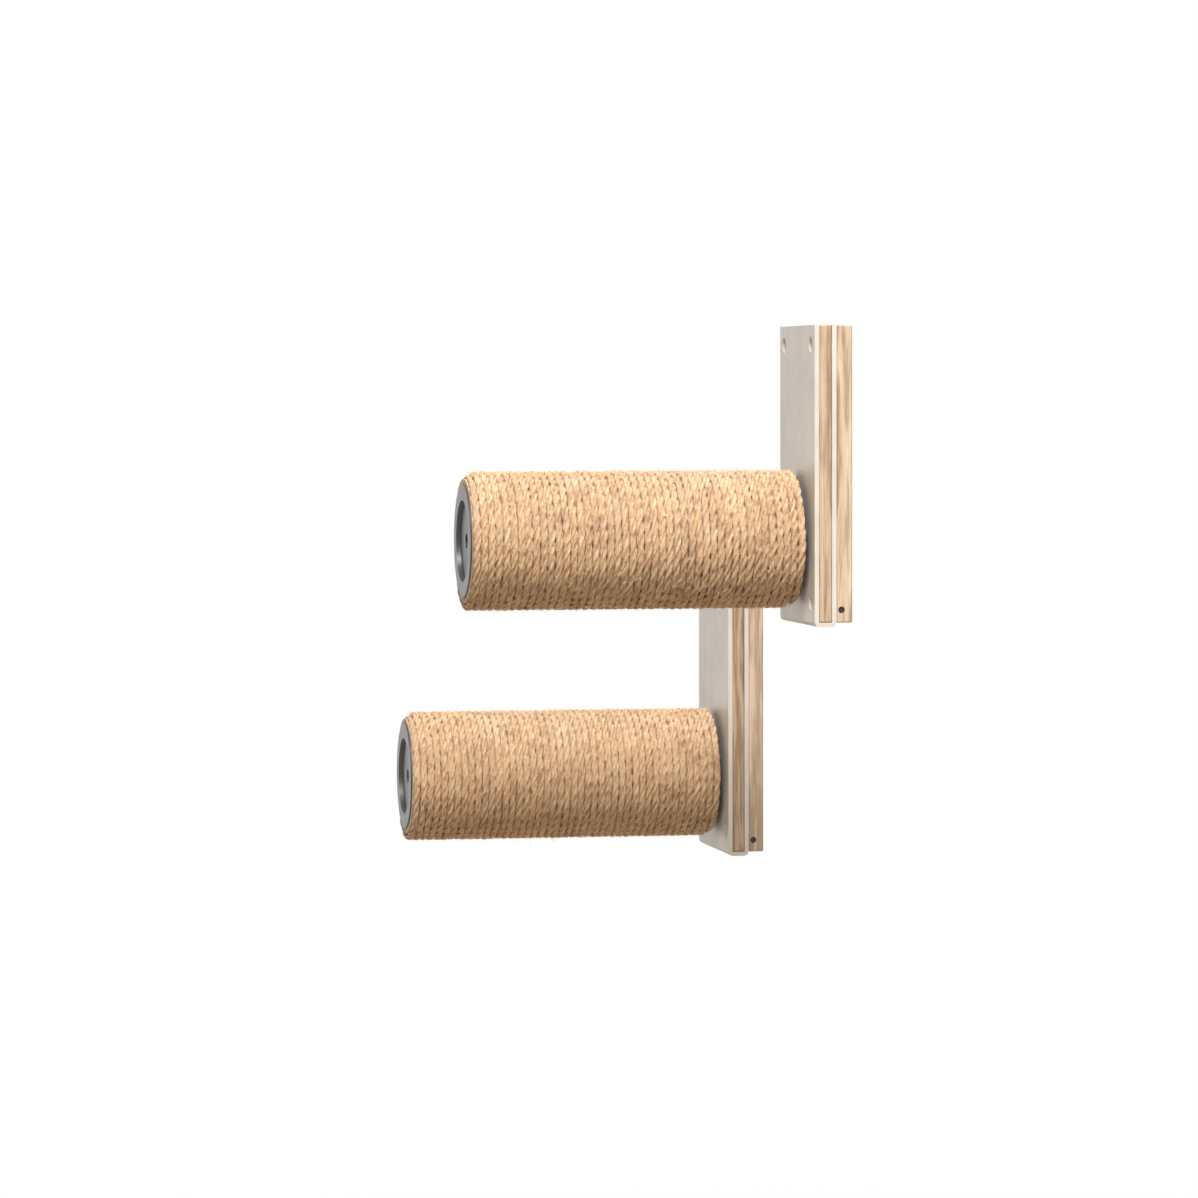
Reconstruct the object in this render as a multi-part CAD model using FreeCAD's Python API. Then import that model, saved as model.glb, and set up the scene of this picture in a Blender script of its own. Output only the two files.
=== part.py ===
import FreeCAD, Part
import math
import os
from FreeCAD import Vector

# Two rope-wound climbing posts, each bolted to its own small mounting board on a wall.
# Millimetres. +Z is up, the wall is the plane y = 0 and the posts stand out along -Y.
# The origin is the centre of the lower step's four wall holes, on the wall.
# Every piece is drawn about its own post's axis and then moved to its step.

# Where the two steps hang
step_spacing_along = 290.0      # from the lower post's axis to the upper one's, along the wall
step_spacing_up = 180.0         # from the lower post's axis up to the upper one's

# Post: a paper tube wound with one rope
post_length = 226.0
tube_outer_dia = 84.0
tube_wall = 3.5
rope_dia = 4.8
rope_turns = 24                 # loops drawn; the real rope lies close, with about twice as many
rope_clearance = 0.2            # from the rope to the tube under it
rope_start_angle = 215.0        # where round the post it starts, from +X towards +Z

# End caps, one pressed into each end of the tube
cap_proud = 1.0                 # how far the caps stand out of the tube
cap_clearance = 0.25            # round the cap, to the tube's bore
cap_wall = 2.5                  # rim and floor
cap_skirt_wall = 2.2
cap_skirt_depth = 20.0
cap_recess_dia = 54.0
cap_recess_depth = 3.0
cap_recess_draft = 0.6          # how much wider the recess is at its mouth, each side
cap_edge_chamfer = 0.5
cap_hole_dia = 10.0
cap_boss_dia = 24.0
cap_boss_depth = 20.0           # from the cap's rim to the boss's inner end
cap_rib_count = 8
cap_rib_thickness = 2.0
cap_rib_depth = 14.0            # from the cap's rim to the ribs' inner edge

# Flanged steel nut held in each cap's boss, M8
nut_bore_dia = 8.0
nut_barrel_length = 11.0
nut_barrel_clearance = 0.1      # round the barrel, to the cap's hole
nut_flange_dia = 20.0
nut_flange_thickness = 1.5

# Bolt, spacer and washer between the post and its bracket
thread_clearance = 0.1          # between the bolt and the nut's bore
bolt_tip_short = 1.0            # how far the bolt stops short of the boss's inner end
bolt_head_across_flats = 13.0
bolt_head_height = 5.3
bolt_hole_clearance = 0.2       # round the bolt
head_pocket_clearance = 0.2     # round the bolt's head
spacer_dia = 24.0
washer_dia = 17.0
washer_thickness = 2.0
post_standoff = 4.0             # gap between the post's end and the bracket's front leg

# Mounting board: a steel sheet bent to a U holds the wood core, on a wooden wall board
board_width = 110.0
board_below_axis = 55.0
board_above_axis = 145.0
bracket_sheet = 3.0
bracket_inner_radius = 0.5
core_thickness = 9.0
core_chamfer = 0.8
wall_board_thickness = 11.0
wall_board_chamfer = 0.8

# Holes for the wall screws, through everything from the front leg to the wall
wall_hole_dia = 5.5
wall_hole_inset = 13.0          # from the board's side and end edges
wall_hole_sink_dia = 10.6       # countersink in the bracket's front leg
sink_half_angle = 45.0

# Wood screws that tie the bracket's rear leg to the wall board
tie_screw_dia = 3.5
tie_screw_head_dia = 7.5
tie_screw_length = 11.0
tie_screw_point = 3.0
tie_screw_clearance = 0.15
tie_screw_spacing = 60.0
tie_screw_inset = 37.0          # from the board's ends
tie_driver_dia = 3.0            # round drive socket in the screw's head
tie_driver_depth = 1.4

# Plugs in the side edges of the wall board
side_hole_dia = 4.6
side_hole_depth = 8.0
side_hole_above_bottom = 8.5
side_hole_from_front = 3.5
plug_clearance = 0.1
plug_recess = 1.5

# Depths from the wall, all along -Y
wall_board_front = wall_board_thickness
rear_leg_front = wall_board_front + bracket_sheet
core_front = rear_leg_front + core_thickness
bracket_front = core_front + bracket_sheet
post_base = bracket_front + post_standoff
post_tip = post_base + post_length
wall_end_rim = post_base - cap_proud
free_end_rim = post_tip + cap_proud

# Sizes that follow from the ones above
tube_bore_dia = tube_outer_dia - 2 * tube_wall
cap_dia = tube_bore_dia - 2 * cap_clearance
cap_floor_depth = cap_recess_depth + cap_wall
bolt_dia = nut_bore_dia - 2 * thread_clearance
bolt_hole_dia = bolt_dia + 2 * bolt_hole_clearance
bolt_length = wall_end_rim + cap_boss_depth - bolt_tip_short - core_front
rope_centre_radius = tube_outer_dia / 2 + rope_clearance + rope_dia / 2
rope_pitch = (post_length - rope_dia) / rope_turns
board_height = board_below_axis + board_above_axis
wall_hole_half_span = board_width / 2 - wall_hole_inset
wall_hole_low = wall_hole_inset - board_below_axis
wall_hole_high = board_above_axis - wall_hole_inset
axis_height = -(wall_hole_low + wall_hole_high) / 2

same_place = 0.01               # two edges closer than this count as one
out_of_wall = Vector(0, -1, 0)
into_wall = Vector(0, 1, 0)


def turned(profile):
    """Solid of revolution about the post's axis, from (radius, depth from the wall) points."""
    points = [Vector(radius, -depth, 0) for radius, depth in profile]
    face = Part.Face(Part.makePolygon(points + points[:1]))
    return face.revolve(Vector(0, 0, 0), Vector(0, 1, 0), 360)


def rod(diameter, start_depth, end_depth, x=0.0, z=0.0):
    """Cylinder along the wall's normal, between two depths from the wall."""
    start = Vector(x, -start_depth, z)
    return Part.makeCylinder(diameter / 2, end_depth - start_depth, start, out_of_wall)


def sink(hole_dia, mouth_dia, mouth_depth, x, z):
    """Countersink cone whose mouth faces away from the wall at mouth_depth."""
    height = (mouth_dia - hole_dia) / 2 / math.tan(math.radians(sink_half_angle))
    mouth = Vector(x, -mouth_depth, z)
    return Part.makeCone(mouth_dia / 2, hole_dia / 2, height, mouth, into_wall)


def slab(back_depth, front_depth, chamfer):
    """Board of the mounting board's width and height, with its edges eased."""
    corner = Vector(-board_width / 2, -front_depth, -board_below_axis)
    board = Part.makeBox(board_width, front_depth - back_depth, board_height, corner)
    return board.makeChamfer(chamfer, board.Edges)


def hexagon(across_flats, start_depth, end_depth):
    """Hexagonal prism on the post's axis."""
    corner_radius = across_flats / 2 / math.cos(math.radians(30))
    angles = [math.radians(60 * side) for side in range(6)]
    points = [Vector(corner_radius * math.cos(a), -start_depth, corner_radius * math.sin(a))
              for a in angles]
    face = Part.Face(Part.makePolygon(points + points[:1]))
    return face.extrude(out_of_wall * (end_depth - start_depth))


def wall_hole_places():
    """The four corners where the wall screws go, as (x, z) from the post's axis."""
    return [(x, z) for x in (-wall_hole_half_span, wall_hole_half_span)
            for z in (wall_hole_low, wall_hole_high)]


def tie_screw_places():
    """The four tie screws, as (x, z) from the post's axis."""
    low = tie_screw_inset - board_below_axis
    high = board_above_axis - tie_screw_inset
    return [(x, z) for x in (-tie_screw_spacing / 2, tie_screw_spacing / 2) for z in (low, high)]


def side_hole(side, clearance, recess):
    """Cylinder of a side hole, or of its plug; side is -1 or 1."""
    radius = side_hole_dia / 2 - clearance
    mouth = Vector(side * (board_width / 2 - recess),
                   side_hole_from_front - wall_board_front,
                   side_hole_above_bottom - board_below_axis)
    return Part.makeCylinder(radius, side_hole_depth - recess, mouth, Vector(-side, 0, 0))


# Rope

def helix_point(angle):
    """Point of the rope's centre line; the angle wound so far runs on from turn to turn."""
    depth = post_base + rope_dia / 2 + rope_pitch * angle / (2 * math.pi)
    place = math.radians(rope_start_angle) + angle
    return Vector(rope_centre_radius * math.cos(place), -depth, rope_centre_radius * math.sin(place))


def helix_tangent(angle):
    """Unit tangent of the rope's centre line."""
    place = math.radians(rope_start_angle) + angle
    tangent = Vector(-rope_centre_radius * math.sin(place), -rope_pitch / (2 * math.pi),
                     rope_centre_radius * math.cos(place))
    return tangent.normalize()


def tangent_arc(start, tangent, end):
    """Arc from start to end that leaves start along the tangent."""
    chord = end - start
    turn = tangent.getAngle(chord)
    side = tangent - chord * (tangent.dot(chord) / chord.dot(chord))
    middle = start + chord * 0.5 + side.normalize() * (chord.Length / 2 * math.tan(turn / 2))
    return Part.Arc(start, middle, end)


def biarc(start_angle, end_angle):
    """Two arcs that follow the helix between two angles, smooth where they meet."""
    start, end = helix_point(start_angle), helix_point(end_angle)
    leave, arrive = helix_tangent(start_angle), helix_tangent(end_angle)
    span, tangents = end - start, leave + arrive
    bend = 2 * (1 - leave.dot(arrive))
    reach = (math.sqrt(span.dot(tangents) ** 2 + bend * span.dot(span)) - span.dot(tangents)) / bend
    joint = (start + leave * reach + end - arrive * reach) * 0.5
    last = tangent_arc(end, arrive * -1, joint)
    return [tangent_arc(start, leave, joint), last]


def least_gap(arcs):
    """Least distance between the surfaces of neighbouring turns, measured on points."""
    samples_per_arc = 16
    points = [p for arc in arcs for p in arc.toShape().discretize(samples_per_arc)]
    samples_per_turn = len(points) // rope_turns
    near, far = samples_per_turn // 2, samples_per_turn * 3 // 2
    least = min((points[i] - points[j]).Length for i in range(len(points))
                for j in range(i + near, min(i + far, len(points))))
    return least - rope_dia


def rope_winding():
    """One unbroken rope round the tube, from its wall end to its free end."""
    half_turns = 2 * rope_turns
    arcs = [arc for i in range(half_turns) for arc in biarc(i * math.pi, (i + 1) * math.pi)]
    last_angle = half_turns * math.pi
    first, last = helix_point(0), helix_point(last_angle)
    lead_in = Part.LineSegment(first - helix_tangent(0) * rope_dia, first)
    lead_out = Part.LineSegment(last, last + helix_tangent(last_angle) * rope_dia)
    path = Part.Wire([piece.toShape() for piece in [lead_in] + arcs + [lead_out]])
    section = Part.Wire(Part.makeCircle(rope_dia / 2, lead_in.StartPoint, helix_tangent(0)))
    rope = path.makePipeShell([section], True, False)
    drawn = math.pi * rope_dia ** 2 / 4 * path.Length
    print("rope: length %.0f, volume over section times length %.4f, least gap %.2f"
          % (path.Length, rope.Volume / drawn, least_gap(arcs)))
    return rope


# Post

def paper_tube():
    """Paper tube that carries the rope."""
    return rod(tube_outer_dia, post_base, post_tip).cut(rod(tube_bore_dia, post_base, post_tip))


def end_cap():
    """Cap drawn with its rim at depth 0 and its skirt running out from the wall."""
    rim_inner = cap_recess_dia / 2
    shoulder = rim_inner + cap_recess_draft + cap_wall
    skirt_inner = cap_dia / 2 - cap_skirt_wall
    profile = [(cap_hole_dia / 2, cap_recess_depth),
               (rim_inner, cap_recess_depth),
               (rim_inner + cap_recess_draft, 0),
               (cap_dia / 2 - cap_edge_chamfer, 0),
               (cap_dia / 2, cap_edge_chamfer),
               (cap_dia / 2, cap_skirt_depth),
               (skirt_inner, cap_skirt_depth),
               (skirt_inner, cap_wall),
               (shoulder, cap_wall),
               (shoulder, cap_floor_depth),
               (cap_boss_dia / 2, cap_floor_depth),
               (cap_boss_dia / 2, cap_boss_depth),
               (cap_hole_dia / 2, cap_boss_depth)]
    cap = turned(profile)
    rib_start = (cap_hole_dia + cap_boss_dia) / 4
    rib_step = shoulder - cap_wall / 2
    rib_end = cap_dia / 2 - cap_skirt_wall / 2
    rib_low = (cap_recess_depth + cap_floor_depth) / 2
    for i in range(cap_rib_count):
        inner = Part.makeBox(rib_step - rib_start, cap_rib_depth - rib_low, cap_rib_thickness,
                             Vector(rib_start, -cap_rib_depth, -cap_rib_thickness / 2))
        outer = Part.makeBox(rib_end - rib_step, cap_rib_depth - cap_wall / 2, cap_rib_thickness,
                             Vector(rib_step, -cap_rib_depth, -cap_rib_thickness / 2))
        rib = inner.fuse(outer)
        rib.rotate(Vector(0, 0, 0), Vector(0, 1, 0), 360 * (i + 0.5) / cap_rib_count)
        cap = cap.fuse(rib)
    return cap.removeSplitter()


def cap_nut():
    """Flanged nut drawn where it sits in a cap whose rim is at depth 0."""
    barrel_dia = cap_hole_dia - 2 * nut_barrel_clearance
    end = cap_boss_depth + nut_flange_thickness
    nut = rod(barrel_dia, cap_boss_depth - nut_barrel_length, cap_boss_depth)
    nut = nut.fuse(rod(nut_flange_dia, cap_boss_depth, end))
    return nut.cut(rod(nut_bore_dia, 0, end)).removeSplitter()


def at_wall_end(piece):
    """Move a piece drawn from depth 0 to the cap's rim at the post's wall end."""
    piece.translate(Vector(0, -wall_end_rim, 0))
    return piece


def at_free_end(piece):
    """Turn a piece drawn from depth 0 round to face out of the post's free end."""
    piece.rotate(Vector(0, 0, 0), Vector(0, 0, 1), 180)
    piece.translate(Vector(0, -free_end_rim, 0))
    return piece


# Fastening between post and bracket

def post_bolt():
    """Hex bolt whose head bears on the bracket's front leg from behind."""
    shank = rod(bolt_dia, core_front, core_front + bolt_length)
    tip_edges = [edge for edge in shank.Edges
                 if abs(edge.BoundBox.YMax + core_front + bolt_length) < same_place]
    shank = shank.makeChamfer(bolt_tip_short, tip_edges)
    return shank.fuse(hexagon(bolt_head_across_flats, core_front - bolt_head_height, core_front))


def spacer_bush():
    """Black spacer that stands in the wall-end cap's recess."""
    start = bracket_front + washer_thickness
    end = wall_end_rim + cap_recess_depth
    return rod(spacer_dia, start, end).cut(rod(bolt_hole_dia, start, end))


def steel_washer():
    """Washer between the spacer and the bracket."""
    end = bracket_front + washer_thickness
    return rod(washer_dia, bracket_front, end).cut(rod(bolt_hole_dia, bracket_front, end))


# Mounting board

def edges_along_wall(shape, z):
    """Straight edges as long as the board is wide, at a height from the post's axis."""
    return [edge for edge in shape.Edges
            if abs(edge.BoundBox.XLength - board_width) < same_place
            and abs(edge.BoundBox.ZMin - z) < same_place and abs(edge.BoundBox.ZMax - z) < same_place]


def steel_bracket():
    """Sheet bent to a U under the wood core, with its legs before and behind it."""
    bottom = -board_below_axis - bracket_sheet
    corner = Vector(-board_width / 2, -bracket_front, bottom)
    outer = Part.makeBox(board_width, bracket_front - wall_board_front,
                         board_height + bracket_sheet, corner)
    outer = outer.makeFillet(bracket_inner_radius + bracket_sheet, edges_along_wall(outer, bottom))
    slot = Part.makeBox(board_width, core_thickness, board_height + bracket_sheet,
                        Vector(-board_width / 2, -core_front, -board_below_axis))
    slot = slot.makeFillet(bracket_inner_radius, edges_along_wall(slot, -board_below_axis))
    bracket = outer.cut(slot)
    bracket = bracket.cut(rod(bolt_hole_dia, core_front, bracket_front))
    for x, z in wall_hole_places():
        bracket = bracket.cut(rod(wall_hole_dia, wall_board_front, bracket_front, x, z))
        bracket = bracket.cut(sink(wall_hole_dia, wall_hole_sink_dia, bracket_front, x, z))
    shank = tie_screw_dia + 2 * tie_screw_clearance
    mouth = tie_screw_head_dia + 2 * tie_screw_clearance
    for x, z in tie_screw_places():
        bracket = bracket.cut(rod(shank, wall_board_front, rear_leg_front, x, z))
        bracket = bracket.cut(sink(shank, mouth, rear_leg_front, x, z))
    return bracket


def wood_core():
    """Board that fills the bracket; its six-sided hole keeps the bolt's head from turning."""
    core = slab(rear_leg_front, core_front, core_chamfer)
    pocket = bolt_head_across_flats + 2 * head_pocket_clearance
    core = core.cut(hexagon(pocket, rear_leg_front, core_front))
    for x, z in wall_hole_places():
        core = core.cut(rod(wall_hole_dia, rear_leg_front, core_front, x, z))
    return core


def wall_board():
    """Board that lies on the wall."""
    board = slab(0, wall_board_front, wall_board_chamfer)
    for x, z in wall_hole_places():
        board = board.cut(rod(wall_hole_dia, 0, wall_board_front, x, z))
    pilot = tie_screw_dia + 2 * tie_screw_clearance
    pilot_end = rear_leg_front - tie_screw_length
    for x, z in tie_screw_places():
        board = board.cut(rod(pilot, pilot_end, wall_board_front, x, z))
    for side in (-1, 1):
        board = board.cut(side_hole(side, 0, 0))
    return board


def tie_screw(x, z):
    """Countersunk wood screw from the rear leg into the wall board."""
    tip = rear_leg_front - tie_screw_length
    shank = rod(tie_screw_dia, tip + tie_screw_point, rear_leg_front, x, z)
    point = Part.makeCone(0, tie_screw_dia / 2, tie_screw_point, Vector(x, -tip, z), out_of_wall)
    head = sink(tie_screw_dia, tie_screw_head_dia, rear_leg_front, x, z)
    screw = shank.fuse([point, head]).removeSplitter()
    return screw.cut(rod(tie_driver_dia, rear_leg_front - tie_driver_depth, rear_leg_front, x, z))


def tie_screws():
    """The four tie screws of one step."""
    return Part.makeCompound([tie_screw(x, z) for x, z in tie_screw_places()])


def side_plugs():
    """The two plugs in the wall board's side edges."""
    return Part.makeCompound([side_hole(side, plug_clearance, plug_recess) for side in (-1, 1)])


def step_pieces():
    """Every piece of one step, about its post's axis."""
    return {"rope_winding": rope_winding(),
            "paper_tube": paper_tube(),
            "free_end_cap": at_free_end(end_cap()),
            "wall_end_cap": at_wall_end(end_cap()),
            "free_end_nut": at_free_end(cap_nut()),
            "wall_end_nut": at_wall_end(cap_nut()),
            "post_bolt": post_bolt(),
            "spacer_bush": spacer_bush(),
            "steel_washer": steel_washer(),
            "steel_bracket": steel_bracket(),
            "wood_core": wood_core(),
            "wall_board": wall_board(),
            "tie_screws": tie_screws(),
            "side_plugs": side_plugs()}


step_places = {"lower": Vector(0, 0, axis_height),
               "upper": Vector(step_spacing_along, 0, axis_height + step_spacing_up)}

os.makedirs("parts", exist_ok=True)
pieces = step_pieces()
for step, place in step_places.items():
    for name, piece in pieces.items():
        placed = piece.copy()
        placed.translate(place)
        placed.exportStep("parts/%s_%s.step" % (step, name))
        print("%s_%s: %d solid(s), valid %s, %.0f mm3"
              % (step, name, len(placed.Solids), placed.isValid(), placed.Volume))
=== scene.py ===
import math
import random

import bpy
from mathutils import Matrix, Vector, noise


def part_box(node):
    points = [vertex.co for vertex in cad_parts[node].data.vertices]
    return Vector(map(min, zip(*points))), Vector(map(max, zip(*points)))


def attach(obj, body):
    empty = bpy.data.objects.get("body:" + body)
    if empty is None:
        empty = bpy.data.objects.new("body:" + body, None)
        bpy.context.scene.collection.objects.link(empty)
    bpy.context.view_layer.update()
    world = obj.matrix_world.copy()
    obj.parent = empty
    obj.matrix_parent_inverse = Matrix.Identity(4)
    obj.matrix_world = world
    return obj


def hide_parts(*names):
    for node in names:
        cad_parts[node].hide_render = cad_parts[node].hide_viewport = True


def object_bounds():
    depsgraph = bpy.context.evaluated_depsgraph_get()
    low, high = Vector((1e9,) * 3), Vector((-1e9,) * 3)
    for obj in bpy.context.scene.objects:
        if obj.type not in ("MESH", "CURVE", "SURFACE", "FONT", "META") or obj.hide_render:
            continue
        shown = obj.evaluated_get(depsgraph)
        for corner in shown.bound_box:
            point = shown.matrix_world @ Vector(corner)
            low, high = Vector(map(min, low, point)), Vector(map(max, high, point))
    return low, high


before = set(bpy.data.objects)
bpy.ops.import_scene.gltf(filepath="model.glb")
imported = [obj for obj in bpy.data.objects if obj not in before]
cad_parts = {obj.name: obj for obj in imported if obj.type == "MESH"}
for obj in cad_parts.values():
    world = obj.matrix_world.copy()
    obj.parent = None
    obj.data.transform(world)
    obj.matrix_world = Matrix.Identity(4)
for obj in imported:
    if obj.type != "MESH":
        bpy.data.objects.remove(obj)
cadLow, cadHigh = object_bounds()  # the CAD box, before anything is added
mm = 0.001


# Shader helpers

def startMaterial(name):
    material = bpy.data.materials.new(name)
    material.use_nodes = True
    return material, material.node_tree, material.node_tree.nodes["Principled BSDF"]


def setSocket(tree, socket, value):
    if isinstance(value, bpy.types.NodeSocket):
        tree.links.new(value, socket)
    elif isinstance(value, tuple) and socket.type == "RGBA":
        socket.default_value = (*value, 1)
    else:
        socket.default_value = value


def addNode(tree, kind, inputs, **settings):
    node = tree.nodes.new(kind)
    for name, value in settings.items():
        setattr(node, name, value)
    for name, value in inputs.items():
        setSocket(tree, node.inputs[name], value)
    return node


def addRamp(tree, factor, stops):
    ramp = addNode(tree, "ShaderNodeValToRGB", {"Fac": factor})
    elements = ramp.color_ramp.elements
    for element, (position, colour) in zip(elements, (stops[0], stops[-1])):
        element.position, element.color = position, (*colour, 1)
    for position, colour in stops[1:-1]:
        elements.new(position).color = (*colour, 1)
    return ramp.outputs["Color"]


def mixColours(tree, factor, first, second):
    mix = addNode(tree, "ShaderNodeMix", {}, data_type="RGBA")
    for index, value in ((0, factor), (6, first), (7, second)):  # the colour sockets of this node
        setSocket(tree, mix.inputs[index], value)
    return mix.outputs[2]


def doMath(tree, operation, first, second):
    node = addNode(tree, "ShaderNodeMath", {}, operation=operation)
    setSocket(tree, node.inputs[0], first)
    setSocket(tree, node.inputs[1], second)
    return node.outputs[0]


def addTones(tree, *parts):
    tones = [doMath(tree, "MULTIPLY", pattern, share) for pattern, share in parts]
    total = tones[0]
    for tone in tones[1:]:
        total = doMath(tree, "ADD", total, tone)
    return total


def mapRange(tree, value, low, high, newLow, newHigh):
    return addNode(tree, "ShaderNodeMapRange", {"Value": value, "From Min": low, "From Max": high,
                                                "To Min": newLow, "To Max": newHigh}).outputs[0]


def placeOn(tree, kind="Object", scale=(1, 1, 1), location=(0, 0, 0)):
    source = addNode(tree, "ShaderNodeTexCoord", {}).outputs[kind]
    return addNode(tree, "ShaderNodeMapping", {"Vector": source, "Scale": scale,
                                               "Location": location}).outputs[0]


def addNoise(tree, place, scale, detail, roughness=0.5, distortion=0.0):
    return addNode(tree, "ShaderNodeTexNoise", {"Vector": place, "Scale": scale, "Detail": detail,
                                                "Roughness": roughness, "Distortion": distortion}).outputs[0]


def addBump(tree, shader, height, strength, distance):
    bump = addNode(tree, "ShaderNodeBump", {"Height": height, "Strength": strength, "Distance": distance})
    tree.links.new(bump.outputs["Normal"], shader.inputs["Normal"])


def setRoughness(tree, shader, pattern, look):
    roughness = mapRange(tree, pattern, 0.3, 0.7, look["smoothest"], look["roughest"])
    setSocket(tree, shader.inputs["Roughness"], roughness)


def dress(nodeName, material):
    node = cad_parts[nodeName]
    node.data.materials.clear()
    node.data.materials.append(material)


# Where each post lies, from the paper tubes

def postPlace(step):
    low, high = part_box(step + "_paper_tube")
    return {"x": (low.x + high.x) / 2, "z": (low.z + high.z) / 2, "tip": low.y, "base": high.y,
            "tubeRadius": (high.x - low.x) / 2}


posts = {step: postPlace(step) for step in ("lower", "upper")}

# Jute rope: three strands laid up right-handed, wound close on the tube

rope = {
    "turns": 45,
    "strands": 3,
    "shift": 0.30,  # share of each turn in which the rope moves over to the next
    "startAngle": math.radians(234),  # puts the ends and the shifts at the back
    "calmEnds": 0.08,  # share of the post's length in which the turns wander less
    "calmest": 0.25,  # share of the wander that is left at the post's ends
    "tucked": math.radians(75),  # over this angle each end thins out and lies down on the tube
    "thinnest": 0.25,  # share of the thickness that is left at the rope's ends
    "radius": 2.45 * mm,
    "clearance": 0.15 * mm,
    "lay": 26.3 * mm,  # one full turn of a strand round the rope, staggers the strands of close turns
    "strandRadius": 1.39 * mm,
    "offsetOut": 1.10 * mm,  # from the rope's middle to a strand's, out from the post
    "offsetAlong": 1.22 * mm,  # the same along the post, where the turns press together
    "strandSides": 2,  # bevel resolution, gives 8 sides
    "ringStep": 1.9 * mm,
    "axialWander": 0.36 * mm,
    "radialWander": 0.28 * mm,
    "wanderPerTurn": 0.23,  # how fast both change from turn to turn
    "thicknessWander": 0.22,
    "offsetWander": 0.2,
    "longSwell": 11 * mm,  # lengths of the thick and thin stretches along a strand
    "shortSwell": 4 * mm,
    "phaseWander": 1.0,
    "phaseLength": 70 * mm,
}
woundAngle = 2 * math.pi * (rope["turns"] - rope["shift"])


def coilRadius(post):
    return post["tubeRadius"] + rope["clearance"] + rope["radius"]


def ropeFullness(turned):
    fromEnd = min(turned, woundAngle - turned)
    return max(rope["thinnest"], min(1, fromEnd / rope["tucked"]))


def ropeLine(post, angle, seed):
    outward = Vector((math.cos(angle), 0, math.sin(angle)))
    turned = angle - rope["startAngle"]
    turn = turned / (2 * math.pi)
    whole = int(turn)
    travel = (whole + max(0, (turn - whole - 1) / rope["shift"] + 1)) / (rope["turns"] - 1)
    length = post["base"] - post["tip"] - 2 * rope["radius"]
    spot = outward * 2.1 + Vector((seed, turn * rope["wanderPerTurn"], 0))
    calm = max(rope["calmest"], min(1, min(travel, 1 - travel) / rope["calmEnds"]))
    wander = noise.noise(spot) * rope["axialWander"] * calm
    lift = noise.noise(spot * 1.7 + Vector((0, 9, 3))) * rope["radialWander"]
    lift -= rope["radius"] * (1 - ropeFullness(turned))
    along = post["base"] - rope["radius"] - length * travel + wander
    centre = Vector((post["x"], along, post["z"]))
    return centre + outward * (coilRadius(post) + lift), outward


def strandPhase(distance, index, seed):
    wander = noise.noise(Vector((distance / rope["phaseLength"], seed, 5.5))) * rope["phaseWander"]
    return 2 * math.pi * (distance / rope["lay"] + index / rope["strands"]) + wander


def strandOffset(outward, phase):
    along = math.sin(phase) * rope["offsetAlong"]
    return outward * math.cos(phase) * rope["offsetOut"] + Vector((0, along, 0))


def ropeAngles(post):
    count = int(woundAngle * coilRadius(post) / rope["ringStep"])
    turned = [woundAngle * i / count for i in range(count + 1)]
    return [(angle, angle * coilRadius(post)) for angle in turned]


def addCurve(name, splines, thickness, sides):
    curve = bpy.data.curves.new(name, "CURVE")
    curve.dimensions = "3D"
    curve.bevel_depth = thickness
    curve.bevel_resolution = sides
    curve.use_fill_caps = True
    for points, radii in splines:
        spline = curve.splines.new("POLY")
        spline.points.add(len(points) - 1)
        spline.points.foreach_set("co", [value for point in points for value in (*point, 1)])
        spline.points.foreach_set("radius", radii)
    piece = bpy.data.objects.new(name, curve)
    bpy.context.scene.collection.objects.link(piece)
    bpy.ops.object.select_all(action="DESELECT")
    piece.select_set(True)
    bpy.context.view_layer.objects.active = piece
    bpy.ops.object.convert(target="MESH")
    return bpy.context.object


def addStrand(step, index, seed):
    post = posts[step]
    points, radii = [], []
    for turned, distance in ropeAngles(post):
        centre, outward = ropeLine(post, turned + rope["startAngle"], seed)
        phase = strandPhase(distance, index, seed)
        swell = noise.noise(Vector((distance / rope["longSwell"], index * 7.3, seed)))
        swell += 0.5 * noise.noise(Vector((distance / rope["shortSwell"], index * 3.1, seed + 20)))
        fullness = ropeFullness(turned)
        sway = 1 + rope["offsetWander"] * swell
        points.append(centre + strandOffset(outward, phase) * sway * fullness)
        radii.append((1 + rope["thicknessWander"] * swell) * fullness)
    return addCurve("%s_rope_strand_%d" % (step, index + 1), [(points, radii)],
                    rope["strandRadius"], rope["strandSides"])


# Loose fibres: slivers that lie along the strands, fuzz that lies flat across the turns,
# and hairs that stand off them

fibres = {
    "slivers": 3400,
    "sliverRadius": 0.16 * mm,
    "sliverLength": (5 * mm, 16 * mm),
    "fuzz": 4600,
    "fuzzRadius": 0.10 * mm,
    "fuzzLength": (2 * mm, 9 * mm),
    "fuzzSlant": 0.5,  # spread of its angle to the turns
    "fuzzHeight": (-0.6 * mm, 0.1 * mm),  # from the crown of the turns
    "fuzzStart": 2.5 * mm,  # least distance from the post's ends at which it starts
    "fuzzStop": 0.6 * mm,  # and at which it stops
    "hairs": 5200,
    "hairRadius": 0.06 * mm,
    "hairLength": (1.5 * mm, 4.5 * mm),
    "longShare": 0.05,  # how many of the hairs are long ones
    "longLength": (6 * mm, 12 * mm),
    "hairRoot": 0.93,  # share of the rope's radius at which the hairs start
}


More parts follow.
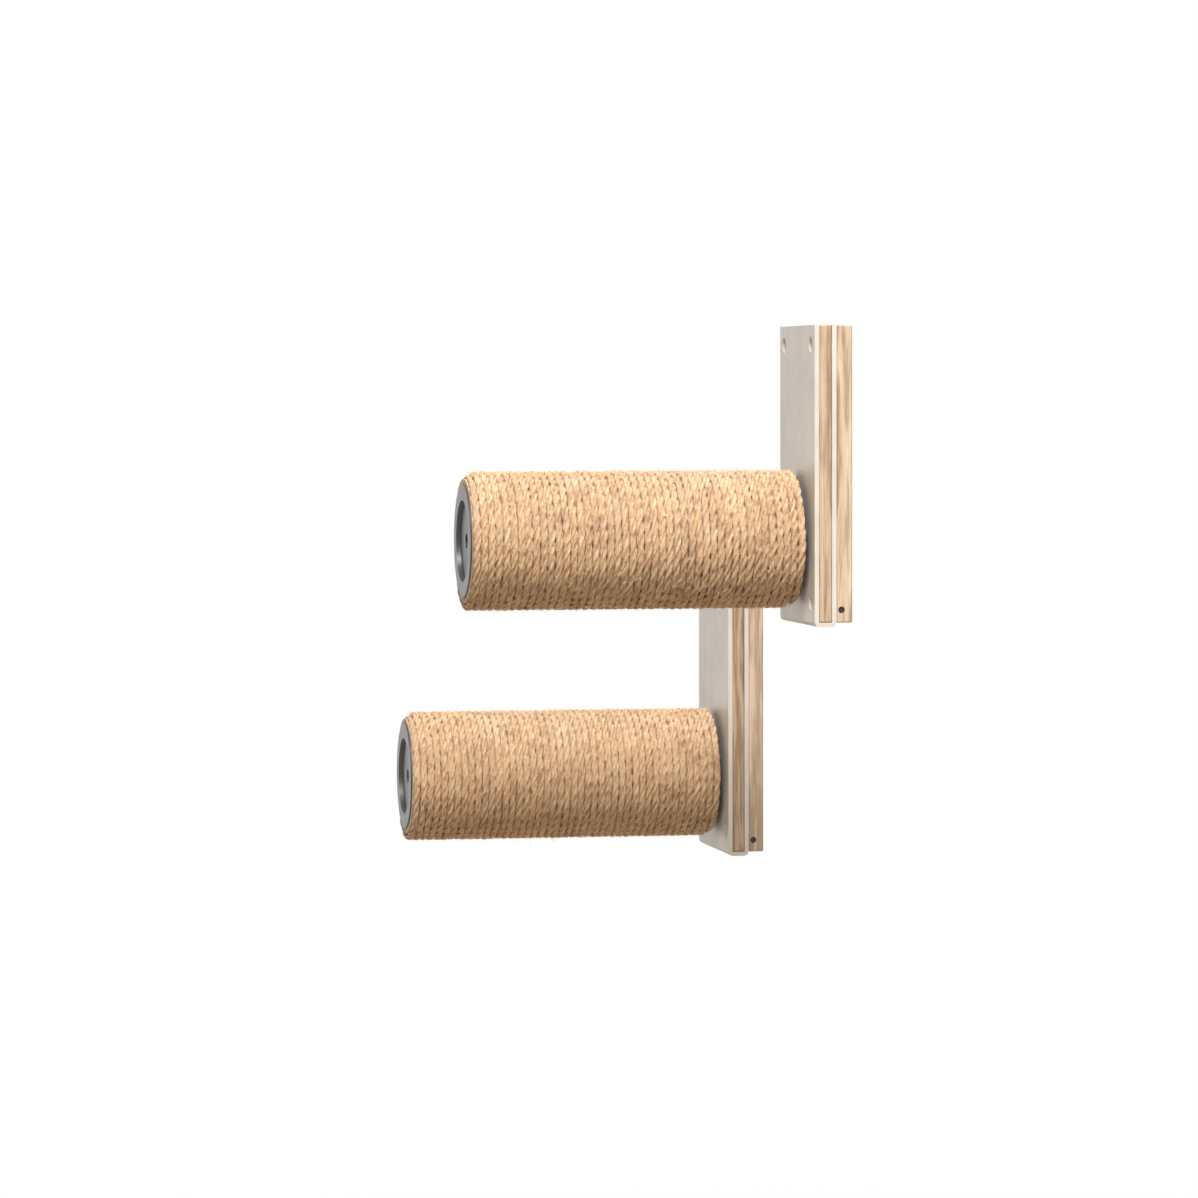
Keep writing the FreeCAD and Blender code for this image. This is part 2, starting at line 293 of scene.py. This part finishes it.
def addSlivers(step, seed):
    post = posts[step]
    random.seed(seed)
    splines = []
    for i in range(fibres["slivers"]):
        start = random.uniform(rope["tucked"], woundAngle - 1.5 * rope["tucked"]) * coilRadius(post)
        length = random.uniform(*fibres["sliverLength"])
        index = random.randrange(rope["strands"])
        lean = random.uniform(-0.9, 0.9)
        drift = random.uniform(-0.5, 0.5)
        thick = random.uniform(0.5, 1.4)
        points, radii = [], []
        for k in range(6):
            share = k / 5
            distance = start + length * share
            centre, outward = ropeLine(post, distance / coilRadius(post) + rope["startAngle"], seed)
            strand = strandPhase(distance, index, seed)
            phase = strand + lean + drift * share
            across = outward * math.cos(phase) + Vector((0, 1, 0)) * math.sin(phase)
            middle = centre + strandOffset(outward, strand)
            rise = 0.98 + 0.10 * math.sin(math.pi * share)
            points.append(middle + across * rope["strandRadius"] * rise)
            radii.append(thick * (0.15 + 0.85 * math.sin(math.pi * (0.06 + 0.88 * share))))
        splines.append((points, radii))
    return addCurve(step + "_rope_slivers", splines, fibres["sliverRadius"], 0)


def addFuzz(step, seed):
    post = posts[step]
    random.seed(seed + 1)
    crown = post["tubeRadius"] + rope["clearance"] + 2 * rope["radius"]
    splines = []
    for i in range(fibres["fuzz"]):
        around = random.uniform(0, 2 * math.pi)
        along = random.uniform(post["tip"] + fibres["fuzzStart"], post["base"] - fibres["fuzzStart"])
        slant = random.choice((-1, 1)) * abs(random.gauss(0, fibres["fuzzSlant"]))
        length = random.uniform(*fibres["fuzzLength"])
        bow = random.uniform(-0.5, 0.5)
        thick = random.uniform(0.6, 1.5)
        points, radii = [], []
        for k in range(4):
            share = k / 3
            heading = slant + bow * share
            turn = around + length * share * math.cos(heading) / crown
            place = along + length * share * math.sin(heading)
            place = max(place, post["tip"] + fibres["fuzzStop"])
            place = min(place, post["base"] - fibres["fuzzStop"])
            height = crown + random.uniform(*fibres["fuzzHeight"])
            outward = Vector((math.cos(turn), 0, math.sin(turn)))
            points.append(Vector((post["x"], place, post["z"])) + outward * height)
            radii.append(thick * (1, 1, 0.8, 0.4)[k])
        splines.append((points, radii))
    return addCurve(step + "_rope_fuzz", splines, fibres["fuzzRadius"], 0)


def addHairs(step, seed):
    post = posts[step]
    random.seed(seed)
    splines = []
    for i in range(fibres["hairs"]):
        angle = random.uniform(rope["tucked"], woundAngle - rope["tucked"]) + rope["startAngle"]
        centre, outward = ropeLine(post, angle, seed)
        tangent = Vector((-outward.z, 0, outward.x)) * random.choice((-1, 1))
        tilt = random.uniform(-1.1, 1.1)
        out = outward * math.cos(tilt) + Vector((0, 1, 0)) * math.sin(tilt)
        sideways = Vector((0, 1, 0)) * random.uniform(-0.9, 0.9)
        heading = tangent * random.uniform(0.3, 1) + sideways + out * random.uniform(0.05, 0.75)
        heading.normalize()
        length = random.uniform(*fibres["hairLength"])
        if random.random() < fibres["longShare"]:
            length = random.uniform(*fibres["longLength"])
        curl = Vector([random.uniform(-1, 1) for axis in range(3)]) * 0.45 - out * random.uniform(0, 0.3)
        point = centre + out * rope["radius"] * fibres["hairRoot"]
        points = [point]
        for k in range(3):
            point = point + heading * length / 3
            points.append(point)
            heading = (heading + curl * 0.5).normalized()
        splines.append((points, [1, 0.9, 0.7, 0.3]))
    return addCurve(step + "_rope_hairs", splines, fibres["hairRadius"], 0)


def finishPiece(piece, material, node):
    piece.data.materials.clear()
    piece.data.materials.append(material)
    bpy.ops.object.select_all(action="DESELECT")
    piece.select_set(True)
    bpy.context.view_layer.objects.active = piece
    bpy.ops.object.shade_smooth()
    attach(piece, "root")
    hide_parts(node)


juteLook = {
    "deep": (0.440, 0.208, 0.080),
    "middle": (0.820, 0.470, 0.220),
    "pale": (0.960, 0.710, 0.425),
    "hair": (0.940, 0.725, 0.465),
    "streaks": (3.2, 0.16, 1),  # per mm round and along a strand
    "tufts": (1.1, 0.30, 1),
    "relief": 0.7 * mm,
    "roughness": 0.86,
    "sheen": 0.42,
}


def juteMaterial():
    material, tree, shader = startMaterial("jute")
    # the UV map goes once round a strand and once along it
    around = 2 * math.pi * rope["strandRadius"] / mm
    along = woundAngle * coilRadius(posts["upper"]) / mm
    fibre = placeOn(tree, "UV", (around, along, 1))
    mappings = [addNode(tree, "ShaderNodeMapping", {"Vector": fibre, "Scale": juteLook[name]}).outputs[0]
                for name in ("streaks", "tufts")]
    streaks = addNoise(tree, mappings[0], 1.0, 6, 0.62, 0.3)
    tufts = addNoise(tree, mappings[1], 1.0, 3, 0.55, 0.4)
    clumps = addNoise(tree, placeOn(tree), 230, 4, 0.6)
    patches = addNoise(tree, placeOn(tree), 60, 3, 0.6)
    tone = addTones(tree, (tufts, 0.40), (clumps, 0.38), (patches, 0.22))
    colour = addRamp(tree, tone, [(0.41, juteLook["deep"]), (0.50, juteLook["middle"]),
                                  (0.59, juteLook["pale"])])
    setSocket(tree, shader.inputs["Base Color"], colour)
    shader.inputs["Roughness"].default_value = juteLook["roughness"]
    shader.inputs["Sheen Weight"].default_value = juteLook["sheen"]
    shader.inputs["Sheen Roughness"].default_value = 0.6
    shader.inputs["Sheen Tint"].default_value = (1, 0.96, 0.90, 1)
    shader.inputs["Specular IOR Level"].default_value = 0.2
    height = doMath(tree, "ADD", doMath(tree, "MULTIPLY", tufts, 1.6), streaks)
    addBump(tree, shader, height, 1.0, juteLook["relief"])
    return material


def hairMaterial():
    material, tree, shader = startMaterial("jute_fibre")
    tone = addNoise(tree, placeOn(tree), 260, 3, 0.6)
    colour = addRamp(tree, tone, [(0.30, juteLook["middle"]), (0.62, juteLook["hair"])])
    setSocket(tree, shader.inputs["Base Color"], colour)
    shader.inputs["Roughness"].default_value = 0.7
    shader.inputs["Specular IOR Level"].default_value = 0.3
    return material


jute, juteFibre = juteMaterial(), hairMaterial()
for number, step in enumerate(posts):
    seed = 3 + 10 * number
    for index in range(rope["strands"]):
        finishPiece(addStrand(step, index, seed), jute, step + "_rope_winding")
    for addFibres in (addSlivers, addFuzz, addHairs):
        finishPiece(addFibres(step, seed), juteFibre, step + "_rope_winding")
    print("rope wound on the %s post" % step)


# Paper tube

tubeLook = {
    "dark": (0.43, 0.31, 0.19),
    "pale": (0.66, 0.52, 0.36),
    "roughness": 0.9,
    "relief": 0.15 * mm,
}


def tubeMaterial():
    material, tree, shader = startMaterial("paper_tube")
    fibre = addNoise(tree, placeOn(tree), 900, 5, 0.65)
    patches = addNoise(tree, placeOn(tree), 70, 3)
    tone = addTones(tree, (fibre, 0.6), (patches, 0.4))
    colour = addRamp(tree, tone, [(0.35, tubeLook["dark"]), (0.65, tubeLook["pale"])])
    setSocket(tree, shader.inputs["Base Color"], colour)
    shader.inputs["Roughness"].default_value = tubeLook["roughness"]
    addBump(tree, shader, fibre, 0.5, tubeLook["relief"])
    return material


# Moulded caps

capLook = {
    "colour": (0.036, 0.034, 0.034),
    "worn": (0.064, 0.061, 0.058),
    "smoothest": 0.36,
    "roughest": 0.50,
    "relief": 0.03 * mm,
}


def capMaterial():
    material, tree, shader = startMaterial("cap_plastic")
    grain = addNoise(tree, placeOn(tree), 2600, 2, 0.5)
    marks = addNoise(tree, placeOn(tree, scale=(1, 1, 0.35)), 160, 6, 0.7, 0.4)
    colour = addRamp(tree, marks, [(0.45, capLook["colour"]), (0.72, capLook["worn"])])
    setSocket(tree, shader.inputs["Base Color"], colour)
    setRoughness(tree, shader, marks, capLook)
    addBump(tree, shader, grain, 0.15, capLook["relief"])
    return material


# Zinc-plated steel: nuts, bolt, washer and screws

zincLook = {
    "dark": (0.52, 0.53, 0.55),
    "pale": (0.70, 0.69, 0.66),
    "smoothest": 0.26,
    "roughest": 0.46,
    "relief": 0.03 * mm,
}


def zincMaterial():
    material, tree, shader = startMaterial("zinc_steel")
    turned = addNoise(tree, placeOn(tree, scale=(1, 40, 1)), 120, 5, 0.6)
    clouds = addNoise(tree, placeOn(tree), 300, 4, 0.6)
    colour = addRamp(tree, clouds, [(0.35, zincLook["dark"]), (0.65, zincLook["pale"])])
    setSocket(tree, shader.inputs["Base Color"], colour)
    shader.inputs["Metallic"].default_value = 1.0
    setRoughness(tree, shader, turned, zincLook)
    addBump(tree, shader, turned, 0.2, zincLook["relief"])
    return material


# Hard black rubber spacer

rubberLook = {
    "black": (0.012, 0.012, 0.013),
    "bloom": (0.040, 0.039, 0.038),
    "smoothest": 0.55,
    "roughest": 0.75,
    "relief": 0.05 * mm,
}


def rubberMaterial():
    material, tree, shader = startMaterial("spacer_rubber")
    grain = addNoise(tree, placeOn(tree), 1800, 4, 0.6)
    bloom = addNoise(tree, placeOn(tree), 190, 4, 0.65)
    colour = addRamp(tree, bloom, [(0.4, rubberLook["black"]), (0.75, rubberLook["bloom"])])
    setSocket(tree, shader.inputs["Base Color"], colour)
    setRoughness(tree, shader, grain, rubberLook)
    addBump(tree, shader, grain, 0.3, rubberLook["relief"])
    return material


# Off-white powder-coated bracket

bracketLook = {
    "dark": (0.47, 0.43, 0.38),
    "pale": (0.53, 0.485, 0.43),
    "smoothest": 0.38,
    "roughest": 0.48,
    "relief": 0.12 * mm,
}


def bracketMaterial():
    material, tree, shader = startMaterial("bracket_paint")
    orangePeel = addNoise(tree, placeOn(tree), 700, 3, 0.45)
    clouds = addNoise(tree, placeOn(tree), 35, 3, 0.5)
    colour = addRamp(tree, clouds, [(0.35, bracketLook["dark"]), (0.65, bracketLook["pale"])])
    setSocket(tree, shader.inputs["Base Color"], colour)
    setRoughness(tree, shader, orangePeel, bracketLook)
    addBump(tree, shader, orangePeel, 0.22, bracketLook["relief"])
    return material


# Brown oiled boards, grain upright

woodLook = {
    "grainStretch": 0.075,  # the smaller, the longer the grain runs
    "poreStretch": 0.03,
    "ringScale": 27.0,
    "ringBend": 16.0,
    "smoothest": 0.50,
    "roughest": 0.68,
    "relief": 0.10 * mm,
}
coreColours = {
    "dark": (0.190, 0.118, 0.070),
    "middle": (0.340, 0.235, 0.150),
    "pale": (0.470, 0.350, 0.240),
    "cutAt": (0.3, 0.1, 0),  # where in the timber the board is cut
}
boardColours = {
    "dark": (0.250, 0.170, 0.110),
    "middle": (0.420, 0.310, 0.215),
    "pale": (0.550, 0.430, 0.320),
    "cutAt": (0.7, 0.4, 0),
}


def woodMaterial(name, colours):
    material, tree, shader = startMaterial(name)
    stretched = placeOn(tree, scale=(1, 1, woodLook["grainStretch"]), location=colours["cutAt"])
    bend = addNoise(tree, stretched, 26, 2, 0.5)
    rings = addNode(tree, "ShaderNodeTexWave", {"Vector": stretched, "Scale": woodLook["ringScale"],
                                                "Distortion": woodLook["ringBend"],
                                                "Detail": 4.0, "Detail Scale": 2.2,
                                                "Detail Roughness": 0.65}, bands_direction="X").outputs[1]
    drawn = placeOn(tree, scale=(1, 1, woodLook["poreStretch"]), location=colours["cutAt"])
    pores = addNoise(tree, drawn, 1500, 3, 0.6)
    tone = addTones(tree, (rings, 0.22), (bend, 0.42), (pores, 0.36))
    colour = addRamp(tree, tone, [(0.34, colours["dark"]), (0.50, colours["middle"]),
                                  (0.68, colours["pale"])])
    setSocket(tree, shader.inputs["Base Color"], colour)
    setRoughness(tree, shader, pores, woodLook)
    addBump(tree, shader, pores, 0.35, woodLook["relief"])
    return material


# Black plugs

plugLook = {
    "dark": (0.010, 0.010, 0.011),
    "pale": (0.026, 0.026, 0.028),
    "smoothest": 0.42,
    "roughest": 0.58,
}


def plugMaterial():
    material, tree, shader = startMaterial("plug_plastic")
    grain = addNoise(tree, placeOn(tree), 2200, 3, 0.5)
    colour = addRamp(tree, grain, [(0.35, plugLook["dark"]), (0.70, plugLook["pale"])])
    setSocket(tree, shader.inputs["Base Color"], colour)
    setRoughness(tree, shader, grain, plugLook)
    return material


zinc, cap = zincMaterial(), capMaterial()
finishes = {
    "paper_tube": tubeMaterial(),
    "free_end_cap": cap,
    "wall_end_cap": cap,
    "free_end_nut": zinc,
    "wall_end_nut": zinc,
    "post_bolt": zinc,
    "spacer_bush": rubberMaterial(),
    "steel_washer": zinc,
    "steel_bracket": bracketMaterial(),
    "wood_core": woodMaterial("core_wood", coreColours),
    "wall_board": woodMaterial("wall_board_wood", boardColours),
    "tie_screws": zinc,
    "side_plugs": plugMaterial(),
}
for step in posts:
    for piece, material in finishes.items():
        dress(step + "_" + piece, material)
print("construction pieces finished")

# Floor, light and camera

stage = {
    "floorDrop": 0.60,  # below the object's lowest point
    "floorMiddle": 0.15,
    "floorSize": 60.0,
    "floorColour": (0.90, 0.90, 0.90),
    "bounce": (0.44, 0.38, 0.31),  # what the floor throws back on the object
    "whiteFrom": 0.9,  # the floor fades to white between these distances
    "whiteTo": 2.4,
    "ambient": 0.27,
}


def addFloor():
    bpy.ops.object.select_all(action="DESELECT")
    place = (stage["floorMiddle"], 0, cadLow.z - stage["floorDrop"])
    bpy.ops.mesh.primitive_plane_add(size=stage["floorSize"], location=place)
    floor = bpy.context.object
    floor.name = "floor"
    material, tree, shader = startMaterial("floor")
    shader.inputs["Roughness"].default_value = 0.9
    source = addNode(tree, "ShaderNodeTexCoord", {}).outputs["Object"]
    distance = addNode(tree, "ShaderNodeVectorMath", {0: source}, operation="LENGTH").outputs["Value"]
    fade = mapRange(tree, distance, stage["whiteFrom"], stage["whiteTo"], 0.0, 1.0)
    path = addNode(tree, "ShaderNodeLightPath", {})
    seen = doMath(tree, "MAXIMUM", path.outputs["Is Camera Ray"], path.outputs["Is Glossy Ray"])
    setSocket(tree, shader.inputs["Base Color"],
              mixColours(tree, seen, stage["bounce"], stage["floorColour"]))
    glow = addNode(tree, "ShaderNodeEmission", {"Color": (1.0, 1.0, 1.0), "Strength": 1.0}).outputs[0]
    mixed = addNode(tree, "ShaderNodeMixShader", {0: doMath(tree, "MULTIPLY", fade, seen),
                                                  1: shader.outputs[0], 2: glow})
    output = tree.nodes["Material Output"]
    tree.links.new(mixed.outputs[0], output.inputs["Surface"])
    floor.data.materials.append(material)


def addWorld():
    world = bpy.data.worlds.new("studio")
    bpy.context.scene.world = world
    world.use_nodes = True
    tree = world.node_tree
    path = addNode(tree, "ShaderNodeLightPath", {})
    seen = doMath(tree, "MAXIMUM", path.outputs["Is Camera Ray"], path.outputs["Is Glossy Ray"])
    seen = doMath(tree, "MAXIMUM", seen, path.outputs["Is Transmission Ray"])
    background = tree.nodes["Background"]
    background.inputs["Color"].default_value = (1, 1, 1, 1)
    strength = mapRange(tree, seen, 0.0, 1.0, stage["ambient"], 1.0)
    tree.links.new(strength, background.inputs["Strength"])


lamps = {
    "key": {"offset": (2.25, -0.30, 2.75), "size": 1.5, "power": 272, "colour": (1.0, 0.985, 0.96)},
    "fill": {"offset": (-2.4, -1.0, 0.4), "size": 2.4, "power": 9, "colour": (1.0, 1.0, 1.0)},
}  # each offset is from the object's middle


def addLamp(name, middle):
    lamp = bpy.data.lights.new(name, "AREA")
    lamp.shape = "DISK"
    lamp.size = lamps[name]["size"]
    lamp.energy = lamps[name]["power"]
    lamp.color = lamps[name]["colour"]
    holder = bpy.data.objects.new(name, lamp)
    bpy.context.scene.collection.objects.link(holder)
    offset = Vector(lamps[name]["offset"])
    holder.location = middle + offset
    holder.rotation_euler = (-offset).to_track_quat("-Z", "Y").to_euler()


view = {
    "place": (3.7041, -0.7709, 0.2356),  # fitted to the photograph's edges
    "yaw": 10.090,  # degrees from -X towards +Y
    "pitch": -2.320,
    "roll": -0.107,
    "focalPixels": 5122.0,
    "imageWidth": 1198,
    "sensor": 36.0,
}


def addCamera():
    camera = bpy.data.cameras.new("camera")
    camera.sensor_width = view["sensor"]
    camera.lens = view["focalPixels"] * view["sensor"] / view["imageWidth"]
    camera.clip_end = 100
    holder = bpy.data.objects.new("camera", camera)
    bpy.context.scene.collection.objects.link(holder)
    turn = Matrix.Rotation(math.radians(90 - view["yaw"]), 4, "Z")
    turn = turn @ Matrix.Rotation(math.radians(90 + view["pitch"]), 4, "X")
    turn = turn @ Matrix.Rotation(math.radians(view["roll"]), 4, "Z")
    holder.matrix_world = Matrix.Translation(view["place"]) @ turn
    bpy.context.scene.camera = holder


addFloor()
addWorld()
for name in lamps:
    addLamp(name, (cadLow + cadHigh) / 2)
addCamera()
bpy.context.scene.view_settings.view_transform = "Standard"
print("stage, light and camera set")
